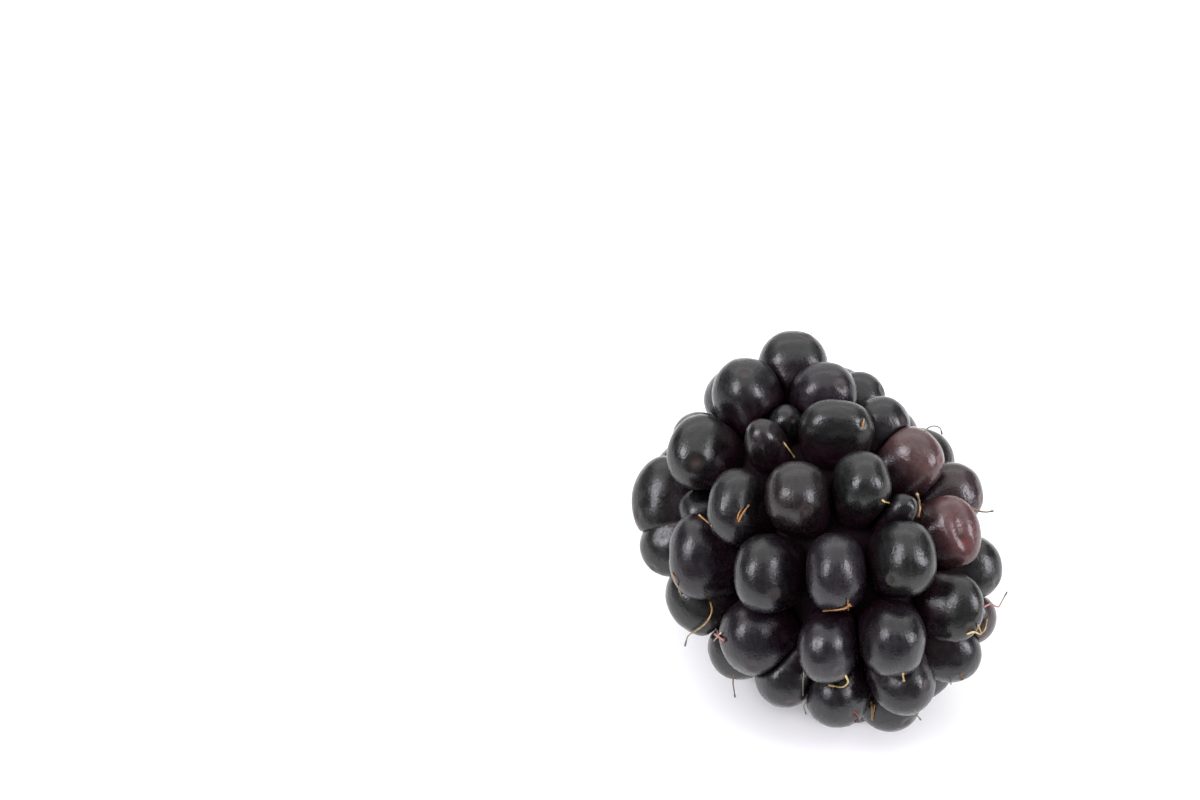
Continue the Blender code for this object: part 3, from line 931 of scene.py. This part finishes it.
ripeSkin = {
    "ior": 1.46,
    "roughness": (0.19, 0.36),
    "mottle": (0.7, 1.3),
    "poreSize": 0.16,
    "streakSize": 0.24,
    "waxAndSheen": 0.04,
    "relief": 0.7,
    "scar": "#2a1b19",
}
ruddySkin = {
    "ior": 1.46,
    "roughness": (0.20, 0.30),
    "mottle": (0.7, 1.35),
    "poreSize": 0.2,
    "streakSize": 0.3,
    "waxAndSheen": 0.06,
    "relief": 0.8,
    "scar": "#5c2a2a",
}


def receptacleFlesh():
    # The soft receptacle that the drupelets grow from: where they cover it, a juice stain darkened
    # to near black as painted shade, and torn greenish-white pith with brown vessel ends where
    # the fruit was picked.
    material, tree, shader = newMaterial("receptacle_flesh")
    place = addNode(tree, "ShaderNodeTexCoord")
    bare = addNode(tree, "ShaderNodeAttribute", attribute_name="bare")
    outOf = addNode(tree, "ShaderNodeAttribute", attribute_name="outOf")
    # fibres about 0.2 mm thick, drawn out along the fruit's axis
    fibre = addNode(tree, "ShaderNodeMapping", [("Vector", place.outputs["Object"])],
                    in_Scale=(0.4, 1.0, 1.0))
    noise = addNode(tree, "ShaderNodeTexNoise", [("Vector", fibre.outputs["Vector"])],
                    in_Scale=1 / 0.00022, in_Detail=4.0, in_Roughness=0.6)
    broad = addNode(tree, "ShaderNodeTexNoise", [("Vector", place.outputs["Object"])],
                    in_Scale=1 / 0.0012, in_Detail=3.0)
    across = addNode(tree, "ShaderNodeValToRGB", [("Fac", outOf.outputs["Fac"])])
    rampColours(across, ((0.0, "#cfc9a2"), (0.45, "#c3c294"), (0.60, "#93824f"),
                         (0.72, "#b4b67e"), (0.88, "#7f8a4e"), (1.0, "#5d5a35")))
    speckle = addNode(tree, "ShaderNodeValToRGB", [("Fac", noise.outputs["Fac"])])
    rampColours(speckle, ((0.32, 0.55), (0.62, 1.0)))
    pith = addNode(tree, "ShaderNodeMix", [(6, across.outputs["Color"]),
                   (7, speckle.outputs["Color"])], data_type="RGBA", blend_type="MULTIPLY")
    pith.inputs["Factor"].default_value = 0.8
    juiceStainAndShade = addNode(tree, "ShaderNodeMath", [(0, broad.outputs["Fac"]),
                    (1, bare.outputs["Fac"])], operation="ADD")
    juiceStainAndShadeMask = addNode(tree, "ShaderNodeMapRange", [("Value", juiceStainAndShade.outputs["Value"])],
                      in_1=0.95, in_2=1.35)
    flesh = addNode(tree, "ShaderNodeMix", [("Factor", juiceStainAndShadeMask.outputs["Result"]),
                    (7, pith.outputs[2])], data_type="RGBA")
    # near black: juice stain and painted shade on the receptacle between the drupelets
    flesh.inputs[6].default_value = (*colour("#12060b"), 1)
    tree.links.new(flesh.outputs[2], shader.inputs["Base Color"])
    shader.inputs["Roughness"].default_value = 0.7
    shader.inputs["IOR"].default_value = 1.42
    shader.inputs["Specular IOR Level"].default_value = 0.12
    addBump(tree, shader, noise.outputs["Fac"], 0.7, 0.00006)
    return material


def driedStyle():
    # A dried style: a thread of dead plant fibre, shrunk as it dried. Matt, ochre to grey, with
    # darker bands along it.
    material, tree, shader = newMaterial("dried_style")
    tint = addNode(tree, "ShaderNodeAttribute", attribute_name="tint")
    place = addNode(tree, "ShaderNodeTexCoord")
    # bands a quarter of a millimetre apart
    noise = addNode(tree, "ShaderNodeTexNoise", [("Vector", place.outputs["Object"])],
                    in_Scale=1 / 0.00025, in_Detail=2.0)
    bands = addNode(tree, "ShaderNodeMapRange", [("Value", noise.outputs["Fac"])],
                    in_1=0.3, in_2=0.7, in_3=0.65, in_4=1.2)
    banded = addNode(tree, "ShaderNodeVectorMath",
                     [(0, tint.outputs["Color"]), ("Scale", bands.outputs["Result"])],
                     operation="SCALE")
    tree.links.new(banded.outputs["Vector"], shader.inputs["Base Color"])
    shader.inputs["Roughness"].default_value = 0.5
    shader.inputs["IOR"].default_value = 1.5
    addBump(tree, shader, noise.outputs["Fac"], 0.5, 0.00003)
    return material


skinMaterial = drupeletSkin("ripe_bramble_skin", ripeSkin)
for piece in ripePieces:
    piece.data.materials.append(skinMaterial)
ruddyPiece.data.materials.append(drupeletSkin("ruddy_bramble_skin", ruddySkin))
receptacle.data.materials.append(receptacleFlesh())
stylesMesh.data.materials.append(driedStyle())

for piece in (*ripePieces, ruddyPiece, receptacle, stylesMesh):
    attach(piece, "root")
    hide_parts("bramble_berry")
print("materials given")

# The studio: a white table, a dim room, a softbox on either side of the camera, a broad panel
# overhead, a pale backdrop and a weak fill from the front that leaves no highlight of its own.
studio = {
    "table": "#f9f9f9",
    "tableSize": 6.0,
    "room": 0.24,
    "roomSeen": 0.99,
    "lampDistance": 0.50,
    "lampSize": (0.17, 0.26),
    "lampLeft": (-0.62, 0.23, 0.75),
    "lampRight": (0.80, 0.14, 0.58),
    "lampGlow": 14.0,
    "lampTint": (0.95, 0.93, 1.0),
    "overheadSize": (1.5, 1.1),
    "overheadAway": 0.15,
    "overheadHigh": 0.72,
    "overheadGlow": 1.5,
    "backdropSize": (1.1, 0.75),
    "backdropAway": 0.60,
    "backdropHigh": 0.38,
    "backdropGlow": 1.15,
    "fillSize": (0.9, 0.9),
    "fillHigh": 0.60,
    "fillGlow": 0.8,
}


def areaLamp(name, at, target, size, glow, tint=(1, 1, 1)):
    # an area light facing its target; watts are glow times pi times its area
    data = bpy.data.lights.new(name, "AREA")
    data.shape = "RECTANGLE"
    data.size, data.size_y = size
    data.energy = glow * np.pi * size[0] * size[1]
    data.color = tint
    lamp = bpy.data.objects.new(name, data)
    bpy.context.scene.collection.objects.link(lamp)
    lamp.location = at
    lamp.rotation_mode = "QUATERNION"
    lamp.rotation_quaternion = (Vector(at) - Vector(target)).to_track_quat("Z", "Y")
    lamp.visible_camera = False
    return lamp


def makeStudio():
    # the table, the lamps round the fruit, and a room that the camera sees paler than it glows
    half = studio["tableSize"] / 2
    mesh = bpy.data.meshes.new("table")
    mesh.from_pydata([(-half, -half, 0), (half, -half, 0), (half, half, 0), (-half, half, 0)],
                     [], [(0, 1, 2, 3)])
    table = bpy.data.objects.new("table", mesh)
    bpy.context.scene.collection.objects.link(table)
    material, _, shader = newMaterial("white_table")
    shader.inputs["Base Color"].default_value = (*colour(studio["table"]), 1)
    shader.inputs["Roughness"].default_value = 0.6
    shader.inputs["Specular IOR Level"].default_value = 0.2
    table.data.materials.append(material)

    middle = np.array([0, 0, fruit["height"]]) * millimetre
    for side in ("lampLeft", "lampRight"):
        x, y, z = studio[side]
        towards = unit(right * x + up * y + back * z)
        areaLamp(side, middle + towards * studio["lampDistance"], middle,
                 studio["lampSize"], studio["lampGlow"], studio["lampTint"])
    level = unit(np.array([back[0], back[1], 0.0]))
    behind = middle - level * studio["backdropAway"] + np.array([0, 0, studio["backdropHigh"]])
    areaLamp("backdrop", behind, middle, studio["backdropSize"], studio["backdropGlow"])
    above = middle - level * studio["overheadAway"] + np.array([0, 0, studio["overheadHigh"]])
    areaLamp("overhead", above, middle, studio["overheadSize"], studio["overheadGlow"])
    # light that the white room throws back on the table in front; the fruit mirrors none of it
    near = middle + level * studio["fillHigh"] + np.array([0, 0, studio["fillHigh"]])
    fill = areaLamp("fill", near, middle, studio["fillSize"], studio["fillGlow"])
    fill.visible_glossy = False

    world = bpy.data.worlds.new("pale_room")
    bpy.context.scene.world = world
    world.use_nodes = True
    tree = world.node_tree
    background = tree.nodes["Background"]
    path = addNode(tree, "ShaderNodeLightPath")
    strength = addNode(tree, "ShaderNodeMapRange", [("Value", path.outputs["Is Camera Ray"])],
                       in_3=studio["room"], in_4=studio["roomSeen"])
    background.inputs["Color"].default_value = (1, 1, 1, 1)
    tree.links.new(strength.outputs["Result"], background.inputs["Strength"])
    bpy.context.scene.view_settings.view_transform = "Standard"


def makeCamera():
    # where the photograph was taken from, moved along with the centred fruit
    data = bpy.data.cameras.new("camera")
    data.lens = photo["lens"]
    data.sensor_width = photo["sensor"]
    data.clip_start, data.clip_end = 0.01, 20.0
    camera = bpy.data.objects.new("camera", data)
    bpy.context.scene.collection.objects.link(camera)
    turned = Matrix((right, up, back)).transposed().to_4x4()
    turned.translation = Vector((cameraAt + centring) * millimetre)
    camera.matrix_world = turned
    bpy.context.scene.camera = camera


makeStudio()
makeCamera()
print("studio and camera ready")
